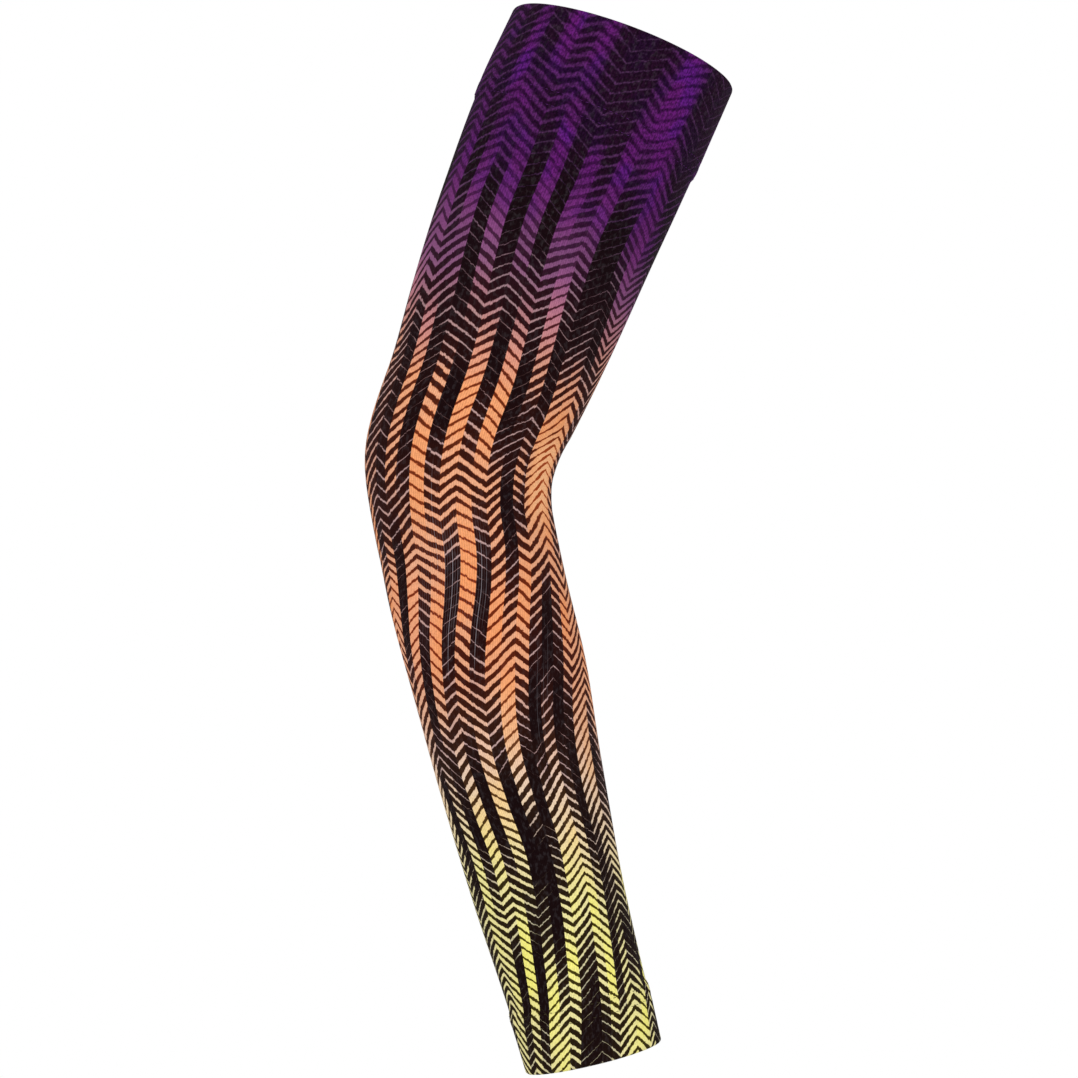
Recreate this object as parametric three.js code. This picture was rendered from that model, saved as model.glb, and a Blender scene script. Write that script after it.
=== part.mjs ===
// Compression arm sleeve in the form it has on a bent arm: one knitted tube that follows the upper arm,
// the elbow and the forearm, with a turned double hem at each end. It is hollow and open at both ends.
// Millimetres, +Z up. The origin is the centre of the upper opening, +X points to the crook side of the
// elbow, and -Y is the near side, which is seen from the front.
import * as THREE from "three";

const { degToRad } = THREE.MathUtils;

// Arm axis: a straight upper arm, a round bend at the elbow and a straight forearm, all in the XZ plane.
const SLEEVE_LENGTH = 426;
const UPPER_ARM_LEAN = degToRad(22);
const FOREARM_LEAN = degToRad(-13.7);
const ELBOW_START = 154;
const ELBOW_ARC = 54;
const ELBOW_RADIUS = ELBOW_ARC / (UPPER_ARM_LEAN - FOREARM_LEAN);

// Cloth: a single knit for the tube, and the same knit doubled in the hems, which stand a little proud of it.
const KNIT_THICKNESS = 1.2;
const HEM_THICKNESS = 2.4;
const HEM_PROUD = 0.8;
const UPPER_HEM_DEPTH = 40;
const WRIST_HEM_DEPTH = 26;
const SEAM_GAP = 0.3;

// Faceting.
const SIDES = 32;
const PLAIN_STEP = 10;
const ELBOW_STEP = 4.5;
const ELBOW_MARGIN = 18;
const HEM_STEPS = 4;
const FOLDED_EDGE_STEPS = 4;

// Outer skin of the tube, a row for each section square to the axis. along is measured down the arm from
// the upper rim, elbow and crook are the reach to either side of the axis, depth is the full size from near
// to far, and nearRise and crookRise are how far the section's near and crook edges are tilted up the arm.
const SECTIONS = [
  { along: 0, elbow: 46.3, crook: 46.7, depth: 83, nearRise: 4.6, crookRise: 1.5 },
  { along: 40, elbow: 48.1, crook: 45.5, depth: 84, nearRise: 2.4, crookRise: 0.7 },
  { along: 80, elbow: 46.7, crook: 43.5, depth: 83, nearRise: 0, crookRise: 0 },
  { along: 120, elbow: 43.3, crook: 41.7, depth: 79, nearRise: 0, crookRise: 0 },
  { along: 154, elbow: 39.7, crook: 39.4, depth: 77, nearRise: 0, crookRise: 0 },
  { along: 178, elbow: 39.9, crook: 36.8, depth: 78, nearRise: 0, crookRise: 0 },
  { along: 202, elbow: 38.3, crook: 34.5, depth: 79, nearRise: 0, crookRise: 0 },
  { along: 230, elbow: 38.8, crook: 33.4, depth: 79, nearRise: 0, crookRise: 0 },
  { along: 270, elbow: 38.0, crook: 33.1, depth: 74, nearRise: 0, crookRise: 0 },
  { along: 310, elbow: 36.6, crook: 30.0, depth: 65, nearRise: 0, crookRise: 0 },
  { along: 350, elbow: 34.6, crook: 27.0, depth: 55, nearRise: 0, crookRise: 0 },
  { along: 385, elbow: 31.9, crook: 26.2, depth: 48.5, nearRise: 0, crookRise: 0 },
  { along: 426, elbow: 29.1, crook: 25.7, depth: 45, nearRise: 0, crookRise: 0 },
];

// Local swellings and folds of the skin. around is the angle from the crook side towards the far side, rise
// is the height (a crease is negative), length runs down the arm and spread runs round it, and slant is how
// many millimetres the fold drops down the arm for each degree towards the far side.
const FOLDS = [
  { name: "elbow point", along: 179, around: 180, rise: 1.1, length: 13, spread: 34, slant: 0 },
  { name: "crook crease", along: 187, around: 0, rise: -0.3, length: 8, spread: 40, slant: 0 },
  { name: "near forearm swelling", along: 226, around: 290, rise: 1.0, length: 26, spread: 30, slant: 0.1 },
  { name: "far forearm swelling", along: 230, around: 80, rise: 1.2, length: 30, spread: 34, slant: 0 },
  { name: "upper arm swelling", along: 96, around: 20, rise: 0.6, length: 30, spread: 40, slant: 0 },
];

const SECTION_COLUMNS = ["elbow", "crook", "depth", "nearRise", "crookRise"];
const sectionCurve = new THREE.CubicInterpolant(
  SECTIONS.map((row) => row.along),
  SECTIONS.flatMap((row) => SECTION_COLUMNS.map((column) => row[column])),
  SECTION_COLUMNS.length,
);

// The section of the skin at a distance down the arm.
function sectionAt(along) {
  const [elbow, crook, depth, nearRise, crookRise] = sectionCurve.evaluate(along);
  return { elbow, crook, depth, nearRise, crookRise };
}

// The axis at a distance down the arm: its place, and unit vectors down the arm and towards the crook.
function axisAt(along) {
  const inUpperArm = Math.min(along, ELBOW_START);
  const inBend = THREE.MathUtils.clamp(along - ELBOW_START, 0, ELBOW_ARC);
  const inForearm = Math.max(along - ELBOW_START - ELBOW_ARC, 0);
  const lean = UPPER_ARM_LEAN - inBend / ELBOW_RADIUS;
  const down = new THREE.Vector3(-Math.sin(lean), 0, -Math.cos(lean));
  const toCrook = new THREE.Vector3(Math.cos(lean), 0, -Math.sin(lean));
  const place = new THREE.Vector3(-Math.sin(UPPER_ARM_LEAN), 0, -Math.cos(UPPER_ARM_LEAN));
  place.multiplyScalar(inUpperArm);
  place.x -= ELBOW_RADIUS * (Math.cos(lean) - Math.cos(UPPER_ARM_LEAN));
  place.z -= ELBOW_RADIUS * (Math.sin(UPPER_ARM_LEAN) - Math.sin(lean));
  return { place: place.addScaledVector(down, inForearm), down, toCrook };
}

// How far the folds lift the skin at a place.
function foldRise(along, around) {
  const turn = THREE.MathUtils.radToDeg(around);
  return FOLDS.reduce((sum, fold) => {
    const away = THREE.MathUtils.euclideanModulo(turn - fold.around + 180, 360) - 180;
    const below = along - fold.along - fold.slant * away;
    return sum + fold.rise * Math.exp(-((below / fold.length) ** 2) - (away / fold.spread) ** 2);
  }, 0);
}

// A point of the cloth, inset from the skin, at a distance down the arm and an angle round it.
function clothPoint(along, around, inset) {
  const { elbow, crook, depth, nearRise, crookRise } = sectionAt(along);
  const { place, down, toCrook } = axisAt(along);
  const lift = foldRise(along, around) - inset;
  const sideways = Math.cos(around) * ((Math.cos(around) > 0 ? crook : elbow) + lift);
  const farwards = Math.sin(around) * (depth / 2 + lift);
  const tilt = nearRise * Math.sin(around) - crookRise * Math.cos(around);
  place.addScaledVector(toCrook, sideways).addScaledVector(down, tilt);
  place.y += farwards;
  return place;
}

// A hollow ring of cloth: a closed profile of places down the arm and insets, carried once round the arm.
function ringWall(profile) {
  const turns = Array.from({ length: SIDES }, (_, side) => (2 * Math.PI * side) / SIDES);
  const positions = profile.flatMap(({ along, inset }) =>
    turns.flatMap((around) => clothPoint(along, around, inset).toArray()),
  );
  const index = [];
  profile.forEach((_, row) => {
    const nextRow = (row + 1) % profile.length;
    for (let side = 0; side < SIDES; side += 1) {
      const nextSide = (side + 1) % SIDES;
      const [a, b] = [row * SIDES + side, row * SIDES + nextSide];
      const [c, d] = [nextRow * SIDES + nextSide, nextRow * SIDES + side];
      index.push(a, c, b, a, d, c);
    }
  });
  const geometry = new THREE.BufferGeometry();
  geometry.setAttribute("position", new THREE.Float32BufferAttribute(positions, 3));
  geometry.setIndex(index);
  geometry.computeVertexNormals();
  return geometry;
}

// Even steps from one distance to another, both included.
function evenSteps(from, to, step) {
  const count = Math.max(1, Math.round(Math.abs(to - from) / step));
  return Array.from({ length: count + 1 }, (_, i) => THREE.MathUtils.lerp(from, to, i / count));
}

// The tube's profile: its skin from hem to hem, finer at the elbow, and its inside on the way back.
function tubeProfile(from, to) {
  const bendFrom = ELBOW_START - ELBOW_MARGIN;
  const bendTo = ELBOW_START + ELBOW_ARC + ELBOW_MARGIN;
  const stations = [
    ...evenSteps(from, bendFrom, PLAIN_STEP),
    ...evenSteps(bendFrom, bendTo, ELBOW_STEP).slice(1),
    ...evenSteps(bendTo, to, PLAIN_STEP).slice(1),
  ];
  const skin = stations.map((along) => ({ along, inset: 0 }));
  const inside = stations.map((along) => ({ along, inset: KNIT_THICKNESS })).reverse();
  return [...skin, ...inside];
}

// A hem's profile: the outer layer, a round fold at the free edge, the turned layer inside and the sewn edge.
function hemProfile(foldedEdge, sewnEdge) {
  const foldRadius = HEM_THICKNESS / 2;
  const middleInset = foldRadius - HEM_PROUD;
  const towardsFold = Math.sign(foldedEdge - sewnEdge);
  const foldCentre = foldedEdge - towardsFold * foldRadius;
  const outer = evenSteps(sewnEdge, foldCentre, Math.abs(foldCentre - sewnEdge) / HEM_STEPS);
  const fold = Array.from({ length: FOLDED_EDGE_STEPS - 1 }, (_, i) => {
    const turn = (Math.PI * (i + 1)) / FOLDED_EDGE_STEPS;
    return {
      along: foldCentre + towardsFold * foldRadius * Math.sin(turn),
      inset: middleInset - foldRadius * Math.cos(turn),
    };
  });
  const loop = [
    ...outer.map((along) => ({ along, inset: -HEM_PROUD })),
    ...fold,
    ...outer.toReversed().map((along) => ({ along, inset: HEM_THICKNESS - HEM_PROUD })),
  ];
  return towardsFold > 0 ? loop : loop.reverse();
}

function clothPiece(name, colour, profile) {
  const material = new THREE.MeshStandardMaterial({ color: colour, roughness: 0.85, metalness: 0 });
  const piece = new THREE.Mesh(ringWall(profile), material);
  piece.name = name;
  return piece;
}

const upperSeam = UPPER_HEM_DEPTH;
const wristSeam = SLEEVE_LENGTH - WRIST_HEM_DEPTH;
const sleeve = new THREE.Group();
sleeve.name = "arm_sleeve";
sleeve.add(
  clothPiece("upper_hem", 0x3a1650, hemProfile(0, upperSeam)),
  clothPiece("sleeve_tube", 0xa0583a, tubeProfile(upperSeam + SEAM_GAP, wristSeam - SEAM_GAP)),
  clothPiece("wrist_hem", 0xb8a83c, hemProfile(SLEEVE_LENGTH, wristSeam)),
);

export default sleeve;
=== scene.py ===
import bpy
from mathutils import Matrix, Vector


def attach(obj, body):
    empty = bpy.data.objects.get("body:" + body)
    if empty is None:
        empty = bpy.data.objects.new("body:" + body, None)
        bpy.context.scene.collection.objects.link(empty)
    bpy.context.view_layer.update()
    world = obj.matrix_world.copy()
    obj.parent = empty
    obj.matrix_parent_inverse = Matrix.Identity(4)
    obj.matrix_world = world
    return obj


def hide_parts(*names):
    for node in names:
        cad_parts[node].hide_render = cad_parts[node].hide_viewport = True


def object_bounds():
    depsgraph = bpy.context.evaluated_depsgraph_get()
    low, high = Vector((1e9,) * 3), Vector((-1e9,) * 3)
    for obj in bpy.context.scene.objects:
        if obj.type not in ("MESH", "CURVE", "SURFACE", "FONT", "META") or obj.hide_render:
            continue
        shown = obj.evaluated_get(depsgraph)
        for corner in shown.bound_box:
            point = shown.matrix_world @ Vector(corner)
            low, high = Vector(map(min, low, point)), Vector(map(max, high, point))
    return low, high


bl_info = {
    "name": "Printed Arm Sleeve",
    "version": (1, 0, 0),
    "blender": (4, 5, 0),
    "location": "3D View > Sidebar > Arm Sleeve",
    "description": "Dresses the arm sleeve in its printed knit, sews its hems and sets up the studio",
    "category": "Object",
}

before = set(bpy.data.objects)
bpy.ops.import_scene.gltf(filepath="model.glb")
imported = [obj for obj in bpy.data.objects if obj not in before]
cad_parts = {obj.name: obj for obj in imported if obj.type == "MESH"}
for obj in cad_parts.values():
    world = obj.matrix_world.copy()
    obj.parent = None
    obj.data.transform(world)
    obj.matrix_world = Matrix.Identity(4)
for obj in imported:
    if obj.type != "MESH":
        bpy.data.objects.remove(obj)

import math

import bpy
import numpy as np
from bpy.props import FloatProperty, FloatVectorProperty, IntProperty, PointerProperty
from bpy.types import Operator, Panel, PropertyGroup
from mathutils import Vector

CAD_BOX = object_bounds()
BODY = "root"

# Tables and shape functions are in millimetres and degrees. MM turns a finished shape into metres.
MM = 0.001

# Arm axis: a straight upper arm, a round bend at the elbow and a straight forearm.
SLEEVE_LENGTH = 426.0
UPPER_ARM_LEAN = math.radians(22)
FOREARM_LEAN = math.radians(-13.7)
ELBOW_START = 154.0
ELBOW_ARC = 54.0
ELBOW_RADIUS = ELBOW_ARC / (UPPER_ARM_LEAN - FOREARM_LEAN)

# Outer skin: distance down the arm, reach to the elbow and to the crook, depth, rise of the near edge and of
# the crook edge.
SECTIONS = (
    (0, 46.3, 46.7, 83, 4.6, 1.5),
    (40, 48.1, 45.5, 84, 2.4, 0.7),
    (80, 46.7, 43.5, 83, 0, 0),
    (120, 43.3, 41.7, 79, 0, 0),
    (154, 39.7, 39.4, 77, 0, 0),
    (178, 39.9, 36.8, 78, 0, 0),
    (202, 38.3, 34.5, 79, 0, 0),
    (230, 38.8, 33.4, 79, 0, 0),
    (270, 38.0, 33.1, 74, 0, 0),
    (310, 36.6, 30.0, 65, 0, 0),
    (350, 34.6, 27.0, 55, 0, 0),
    (385, 31.9, 26.2, 48.5, 0, 0),
    (426, 29.1, 25.7, 45, 0, 0),
)

# Folds and swellings: along, around, rise, length down the arm, spread round it, slant in mm per degree.
FOLDS = (
    (179, 180, 1.1, 13, 34, 0),
    (187, 0, -0.3, 8, 40, 0),
    (226, 290, 1.0, 26, 30, 0.1),
    (230, 80, 1.2, 30, 34, 0),
    (96, 20, 0.6, 30, 40, 0),
)

# Finer creases, beside the crook and above the wrist hem, in the same columns.
FINE_CREASES = (
    (170, -44, -0.20, 2.6, 15, 0.10),
    (182, -48, -0.24, 2.4, 15, -0.16),
    (193, -46, 0.20, 3.0, 15, -0.10),
    (203, -42, -0.20, 2.8, 16, -0.05),
    (190, 48, -0.24, 2.8, 16, 0.12),
    (204, 46, 0.20, 3.2, 16, 0.08),
    (388, 205, -0.35, 14, 4, 0),
    (388, 213, 0.30, 14, 4, 0),
)

# Gathers beside the sewn rows: waves round the arm, height as a share of the pucker, start in radians, and
# how far and how often round the arm the waves sway.
GATHERS = ((41, 1.0, 0.0, 2, 3), (67, 0.6, 1.3, 3, 2))
GATHER_REACH = 6.5

# Dent of a sewn row: depth as a share of the pucker, and reach.
ROW_DENT = 1.1
ROW_DENT_REACH = 1.0

# Slow unevenness of the cloth: distance down the arm for a radian, waves round the arm, start in radians.
RIPPLES = ((17, 2, 0.0), (29, -3, 1.1), (11, 1, 2.3))

# Distance in which a hem rises from its sewn edge.
HEM_RISE = 1.2

# Print: forty strips run down the sleeve. The lead line lies between strips 6 and 7.
STRIPS = 40
LEAD_STRIP = 7
CROOK_STRIP = 17

# Lead line: distance down the arm and angle round it.
LEAD_LINE = (
    (0, 258.5), (30, 257), (60, 258), (80, 257.8), (100, 260.3), (125, 265), (150, 268), (180, 267),
    (200, 265), (215, 262.5), (230, 256.5), (245, 248), (260, 241), (280, 235.5), (295, 234), (315, 236),
    (338, 239.5), (360, 237.5), (380, 232.5), (400, 226), (426, 213),
)

# Width of the strips between the elbow and the lead line: distance down the arm and degrees.
ELBOW_STRIP_WIDTH = (
    (0, 9.0), (60, 9.0), (90, 9.2), (130, 9.6), (220, 9.6), (260, 9.3), (290, 9.0), (426, 9.0),
)

# Width of the strips between the lead line and the crook, in the same columns.
CROOK_STRIP_WIDTH = (
    (0, 9.0), (40, 8.5), (70, 8.15), (100, 8.2), (125, 8.4), (150, 9.0), (180, 9.4), (230, 9.9), (260, 9.9),
    (285, 9.15), (320, 8.5), (426, 8.55),
)

# Stroke pitch: distance down the arm and the gap between strokes.
STROKE_PITCH = (
    (0, 4.35), (60, 4.4), (100, 4.4), (135, 4.6), (168, 4.95), (200, 4.8), (250, 4.85), (290, 4.95),
    (318, 4.6), (345, 4.05), (380, 4.0), (426, 4.05),
)

# Rise of a stroke across one strip, in the same columns.
STROKE_RISE = (
    (0, 3.5), (60, 3.9), (100, 4.2), (150, 4.6), (190, 4.5), (220, 3.9), (260, 4.7), (300, 4.8), (340, 3.8),
    (426, 3.6),
)

# How far the rows of strokes sink from one strip to the next. The swing, by strip, brings them back on the
# far side.
ROW_SINK = (
    (0, -0.2), (60, -0.1), (100, -0.9), (140, -1.8), (180, -0.9), (220, 0.7), (260, 0.8), (300, 0.3),
    (426, 0.2),
)
ROW_SWING = ((0, -10), (8, 0), (18, 8), (40, -10))

# Ombre: distance down the arm, and how much further on the colours are at the crook than on the axis.
OMBRE_TILT = (
    (0, 0), (60, 0), (88, -2), (104, 3), (126, 8), (150, 6), (175, 3), (230, -5), (330, -13), (426, -13),
)

# Ground colours in broad gaps between strokes, in fine gaps and in hairlines: distance down the arm, colour.
BROAD_GROUND = (
    (0, "violet"), (58, "violet"), (78, "purple"), (99, "mauve"), (124, "salmon"), (149, "orange"),
    (205, "orange"), (232, "deep_orange"), (264, "deep_orange"), (296, "peach"), (325, "straw"),
    (355, "yellow"), (426, "yellow"),
)
FINE_GROUND = (
    (0, "fine_violet"), (72, "fine_violet"), (104, "fine_mauve"), (146, "fine_peach"), (272, "fine_peach"),
    (306, "fine_sand"), (360, "fine_cream"), (426, "fine_cream"),
)
HAIRLINE_GROUND = (
    (0, "hair_violet"), (70, "hair_violet"), (140, "hair_lilac"), (300, "hair_lilac"), (370, "hair_cream"),
    (426, "hair_cream"),
)

# Softness of the borders between strips: distance down the arm and share.
BORDER_SOFTNESS = ((0, 0.75), (36, 0.7), (60, 0.4), (95, 0.0), (426, 0.0))

# Short strokes that swell inside the crook: place across the print and half width in strips, start and end
# down the arm, and added share of black.
CROOK_STROKES = ((12.1, 0.34, 158, 214, 0.34), (13.45, 0.42, 150, 216, 0.36))

# Bare yarn that stretch opens in the black: column of the mesh, start and end down the arm, strength.
OPEN_YARN = (
    (33, 178, 228, 0.22), (36, 198, 238, 0.25), (39, 205, 264, 0.5), (41, 214, 250, 0.22),
    (50, 205, 264, 0.45), (52, 208, 246, 0.22), (76, 252, 300, 0.12), (79, 258, 300, 0.12),
    (81, 248, 285, 0.12),
)

# Patch of the forearm where every column of the knit is stretched open a little: first and last column of the
# mesh, start and end down the arm, strength.
STRETCHED_PATCH = (20, 54, 192, 252, 0.08)

# How far such stretches take to fade at their ends, and the patch at its sides in columns.
STRETCH_FADE = 12.0
PATCH_FADE = 6.0

# Slants of the strokes, strip by strip.
NEAR_SLANTS = r"/\//\\/\\//\//\\//"
FAR_SLANTS = r"\\/\\//\\/\\//\\//\/\/"

# Chart of the near strips, from the elbow to the crook: distance down the arm and share of black.
NEAR_CHART = (
    ((0, .56), (30, .54), (60, .56), (90, .38), (110, .3), (120, .4), (134, .66), (150, .74), (165, .75),
     (185, .65), (205, .87), (228, .2), (260, .5), (330, .7), (426, .6)),
    ((0, .42), (30, .4), (75, .2), (95, .28), (115, .5), (140, .94), (180, .85), (200, .73), (222, .16),
     (265, .5), (290, .28), (315, .3), (335, .5), (426, .68)),
    ((0, .82), (20, .74), (40, .72), (70, .82), (100, .52), (122, .55), (132, .3), (155, .3), (188, .62),
     (210, .93), (245, .93), (258, .62), (290, .36), (315, .36), (335, .58), (385, .75), (426, .7)),
    ((0, .3), (12, .15), (30, .18), (50, .45), (66, .25), (82, .18), (95, .42), (115, .55), (132, .88),
     (170, .95), (200, .65), (222, .18), (240, .17), (258, .32), (292, .62), (305, .93), (346, .9),
     (360, .58), (385, .5), (398, .6), (406, .78), (416, .72), (426, .6)),
    ((0, .95), (14, .88), (26, .55), (38, .22), (62, .55), (72, .85), (112, .95), (130, .78), (145, .62),
     (172, .2), (194, .19), (250, .9), (275, .93), (305, .6), (342, .24), (358, .33), (378, .4), (396, .5),
     (408, .42), (426, .5)),
    ((0, .1), (16, .15), (30, .55), (48, .4), (62, .2), (86, .22), (112, .55), (150, .98), (166, .97),
     (192, .55), (210, .45), (238, .14), (252, .16), (280, .5), (295, .78), (328, .95), (344, .7),
     (358, .55), (378, .4), (392, .3), (402, .4), (426, .45)),
    ((0, .62), (14, .54), (25, .46), (40, .6), (56, .92), (86, .96), (112, .71), (148, .2), (168, .2),
     (178, .42), (200, .5), (220, .9), (255, .87), (268, .66), (285, .63), (322, .2), (336, .26),
     (362, .52), (382, .93), (400, .93), (426, .62)),
    ((0, .2), (14, .22), (28, .45), (46, .15), (70, .15), (98, .55), (130, .97), (144, .96), (190, .45),
     (208, .15), (226, .15), (252, .45), (276, .57), (286, .72), (302, .95), (328, .92), (350, .58),
     (368, .2), (388, .15), (412, .5), (426, .53)),
    ((0, .86), (30, .68), (52, .93), (88, .95), (100, .71), (118, .56), (134, .24), (168, .22), (192, .56),
     (228, .93), (254, .87), (266, .65), (282, .54), (308, .21), (328, .24), (356, .64), (376, .95),
     (398, .95), (426, .64)),
    ((0, .82), (38, .78), (52, .22), (78, .22), (104, .6), (138, .96), (162, .94), (188, .52), (222, .53),
     (238, .22), (250, .24), (276, .56), (310, .96), (344, .97), (372, .68), (388, .3), (398, .2),
     (426, .4)),
    ((0, .83), (40, .8), (62, .6), (88, .38), (100, .2), (116, .18), (142, .62), (152, .82), (180, .85),
     (192, .97), (214, .95), (238, .6), (274, .17), (290, .18), (316, .55), (334, .95), (372, .95),
     (398, .6), (418, .26), (426, .24)),
    ((0, .6), (20, .42), (45, .2), (68, .2), (98, .65), (124, .93), (144, .92), (165, .72), (184, .48),
     (195, .6), (202, .8), (208, .72), (214, .58), (224, .36), (232, .25), (246, .26), (272, .57),
     (288, .76), (302, .94), (322, .95), (350, .65), (384, .17), (402, .48), (426, .6)),
    ((0, .12), (30, .12), (60, .72), (74, .92), (118, .9), (142, .5), (158, .12), (200, .1), (208, .28),
     (216, .44), (228, .52), (244, .65), (262, .82), (270, .95), (290, .97), (302, .82), (316, .55),
     (340, .27), (362, .29), (388, .7), (404, .86), (416, .9), (426, .85)),
    ((0, .4), (15, .15), (44, .15), (70, .86), (88, .96), (104, .88), (120, .78), (150, .16), (165, .09),
     (204, .1), (222, .42), (236, .85), (244, .96), (266, .95), (278, .76), (292, .62), (314, .48),
     (332, .27), (350, .3), (376, .6), (394, .9), (412, .94), (426, .87)),
    # In strips 14 to 16 near the crook the chart also holds painted light and shade: strip 14 has little
    # black from about 165 to 205 mm as painted light at the crook's edge, and strips 15 and 16 have more
    # black from about 150 to 216 mm as painted shade in the crook.
    ((0, .88), (18, .84), (32, .5), (44, .25), (66, .25), (80, .55), (96, .9), (122, .9), (146, .42),
     (166, .1), (204, .1), (232, .46), (250, .72), (266, .86), (276, .96), (290, .95), (304, .8),
     (348, .35), (366, .2), (402, .58), (414, .84), (426, .82)),
    ((0, .82), (40, .8), (56, .36), (78, .2), (112, .5), (130, .72), (152, .75), (172, .62), (205, .58),
     (224, .62), (246, .25), (256, .28), (268, .5), (285, .85), (300, .93), (334, .9), (350, .6), (368, .4),
     (392, .17), (404, .3), (416, .66), (426, .68)),
    ((0, .82), (50, .8), (64, .5), (80, .4), (96, .42), (108, .35), (118, .5), (135, .7), (170, .74),
     (216, .7), (238, .44), (250, .34), (272, .5), (284, .42), (296, .36), (312, .34), (324, .5),
     (345, .85), (390, .85), (414, .55), (426, .5)),
    ((0, .82), (70, .7), (100, .42), (108, .36), (120, .5), (200, .6), (275, .48), (290, .3), (312, .23),
     (326, .42), (360, .75), (405, .4), (426, .3)),
)

# Far strips: seed, usual length of a dark or light stretch, the range of lengths as shares of it, and the
# range of the share of black in either.
FAR_SEED = 11
FAR_STEP = 36.0
FAR_STEP_SPREAD = (0.7, 1.5)
FAR_DARK = (0.85, 0.97)
FAR_LIGHT = (0.12, 0.4)

# Fades in the dye, down the colours: start, end, value before and value after. Towards the wrist the strokes
# get a little broader and crisper, and their black is tinted less.
UPPER_ARM = (40, 105, 1.0, 0.0)
STROKE_TRIM = (170, 390, 0.028, -0.005)
STROKE_SOFTNESS = (130, 330, 0.13, 0.07)
WARM_BLACK = (270, 340, 0.0, 1.0)
THIN_STROKE_TINT = (80, 125, 0.38, 0.1)
FAINT_STROKES = (62, 118, 1.0, 0.0)
HEM_TINT = (34, 72, 0.08, 0.0)
RUN_TOGETHER = (32, 76, 0.58, 0.0)
WRIST_TINT = (0.66 * SLEEVE_LENGTH, 0.8 * SLEEVE_LENGTH, 1.0, 0.3)

# Ranges in the dye and the painted shade: the two ends of the range and the values there. The first three go
# by the share of black, the next three by noise, and the last two by the distance from a mesh column and the
# height of the knit. The last paints shade into the knit's grooves and light onto its loops.
FINE_GAPS = (0.2, 0.6, 0.0, 0.9)
HAIRLINE_GAPS = (0.6, 0.9, 0.0, 1.0)
DENSE_STROKES = (0.6, 0.82, 1.0, 0.4)
BLUE_PATCHES = (0.45, 0.62, 0.0, 0.6)
FLECKS = (0.48, 0.72, 0.0, 0.035)
MOTTLE = (0.34, 0.66, 0.62, 1.36)
YARN_LINE = (0.06, 0.16, 1.0, 0.0)
LOOP_SHADE = (0.0, 0.8, 0.78, 1.08)

# Noise in the dye: cells round the sleeve and down it, or, for flecks and mottle, cells for each knit loop.
SWAY_NOISE = (16.0, 22.0)
WIDTH_NOISE = (30.0, 45.0)
OMBRE_NOISE = (9.0, 7.0)
PATCH_NOISE = (22.0, 26.0)
FLECK_NOISE = (0.5, 0.25)
MOTTLE_NOISE = (0.9, 0.5)
RAGGED_COURSES = 5

# Strengths in the dye: how far loops and sway shift a stroke, how uneven its width is, how much softer it is
# on the upper arm, how far the colours drift, the tint of faint strokes, the painted light that fades the
# strokes in the crook, and the mottle below the upper arm.
RAGGED_SHIFT = 0.11
SWAY_SHIFT = 0.5
WIDTH_SPREAD = 0.22
UPPER_SOFTNESS = 0.15
OMBRE_DRIFT = 0.03
FAINT_STROKE_TINT = 0.4
CROOK_LIGHT_TINT = 0.55
LOWER_MOTTLE = 0.2

# Patches of painted light, inside the crook and, as a painted sheen, on the elbow side of the forearm: start
# and end of the way in and of the way out across the print in strips, the same down the arm, and strength.
# The second leaves out dense strokes.
CROOK_LIGHT_PATCH = ((11.6, 13.4, 14.3, 15.6), (146, 170, 196, 220), 0.8)
ELBOW_SHEEN_PATCH = ((0.0, 1.5, 4.0, 6.5), (196, 220, 345, 370), 0.09)
ELBOW_SHEEN_GAPS = (0.45, 0.6, 1.0, 0.0)
WHITE = (1.0, 1.0, 1.0)

# Knit relief: how far the arms of a loop slant, how sharp the grooves are, and how much a loop swells.
LOOP_SLANT = 0.6
GROOVE_SHARPNESS = 0.6
LOOP_SWELL = 0.22

# Finishes, by the shader's sockets, with the strength of the relief.
KNIT_FINISH = {"Roughness": 0.85, "Specular IOR Level": 0.04, "Sheen Weight": 0.008, "Sheen Roughness": 0.45}
KNIT_BUMP = 0.6
INSIDE_SHOW_THROUGH = 0.2
THREAD_FINISH = {"Roughness": 0.75, "Specular IOR Level": 0.1}
THREAD_BUMP = 0.5
THREAD_FUZZ_DEPTH = 0.05
THREAD_FUZZ = {"Scale": 2600.0, "Detail": 2.0}
THREAD_TONE = (0.25, 0.75, 0.7, 1.25)

# Stitches: sides and rings of one, and how far it may turn from its row, in radians.
STITCH_SIDES = 8
STITCH_RINGS = 5
STITCH_WOBBLE = 0.16

# Mesh density.
COLUMNS_PER_STRIP = 6
COLUMNS = STRIPS * COLUMNS_PER_STRIP
SKIN_STEP = 2.0
INSIDE_STEP = 6.0
HEM_STEP = 1.0
FOLD_STEPS = 6
SHARP_EDGE = math.radians(50)

# Floor: its sides, roughness and grain, and where it turns into the white surroundings, in metres.
FLOOR_SIDES = 96
FLOOR_ROUGHNESS = 0.9
FLOOR_GRAIN_SCALE = 40.0
FLOOR_GRAIN = (0.0, 1.0, 0.98, 1.0)
FLOOR_FADE = (0.65, 1.3, 0.0, 1.0)

# Lamps: name, the setting with its power, offset from the middle of the sleeve and size, in metres.
LAMPS = (
    ("key_light", "key", (-0.7, -1.5, 0.7), 1.1),
    ("fill_light", "fill", (1.2, -1.2, 0.1), 1.2),
)

# The photograph's frame, in pixels, which sets the camera.
PHOTO_SIZE = 1078
PHOTO_MM_PER_PIXEL = 0.405
ORIGIN_PIXEL = (622.5, 50.0)
SENSOR_WIDTH = 36.0
CAMERA_REACH = 50.0


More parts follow.
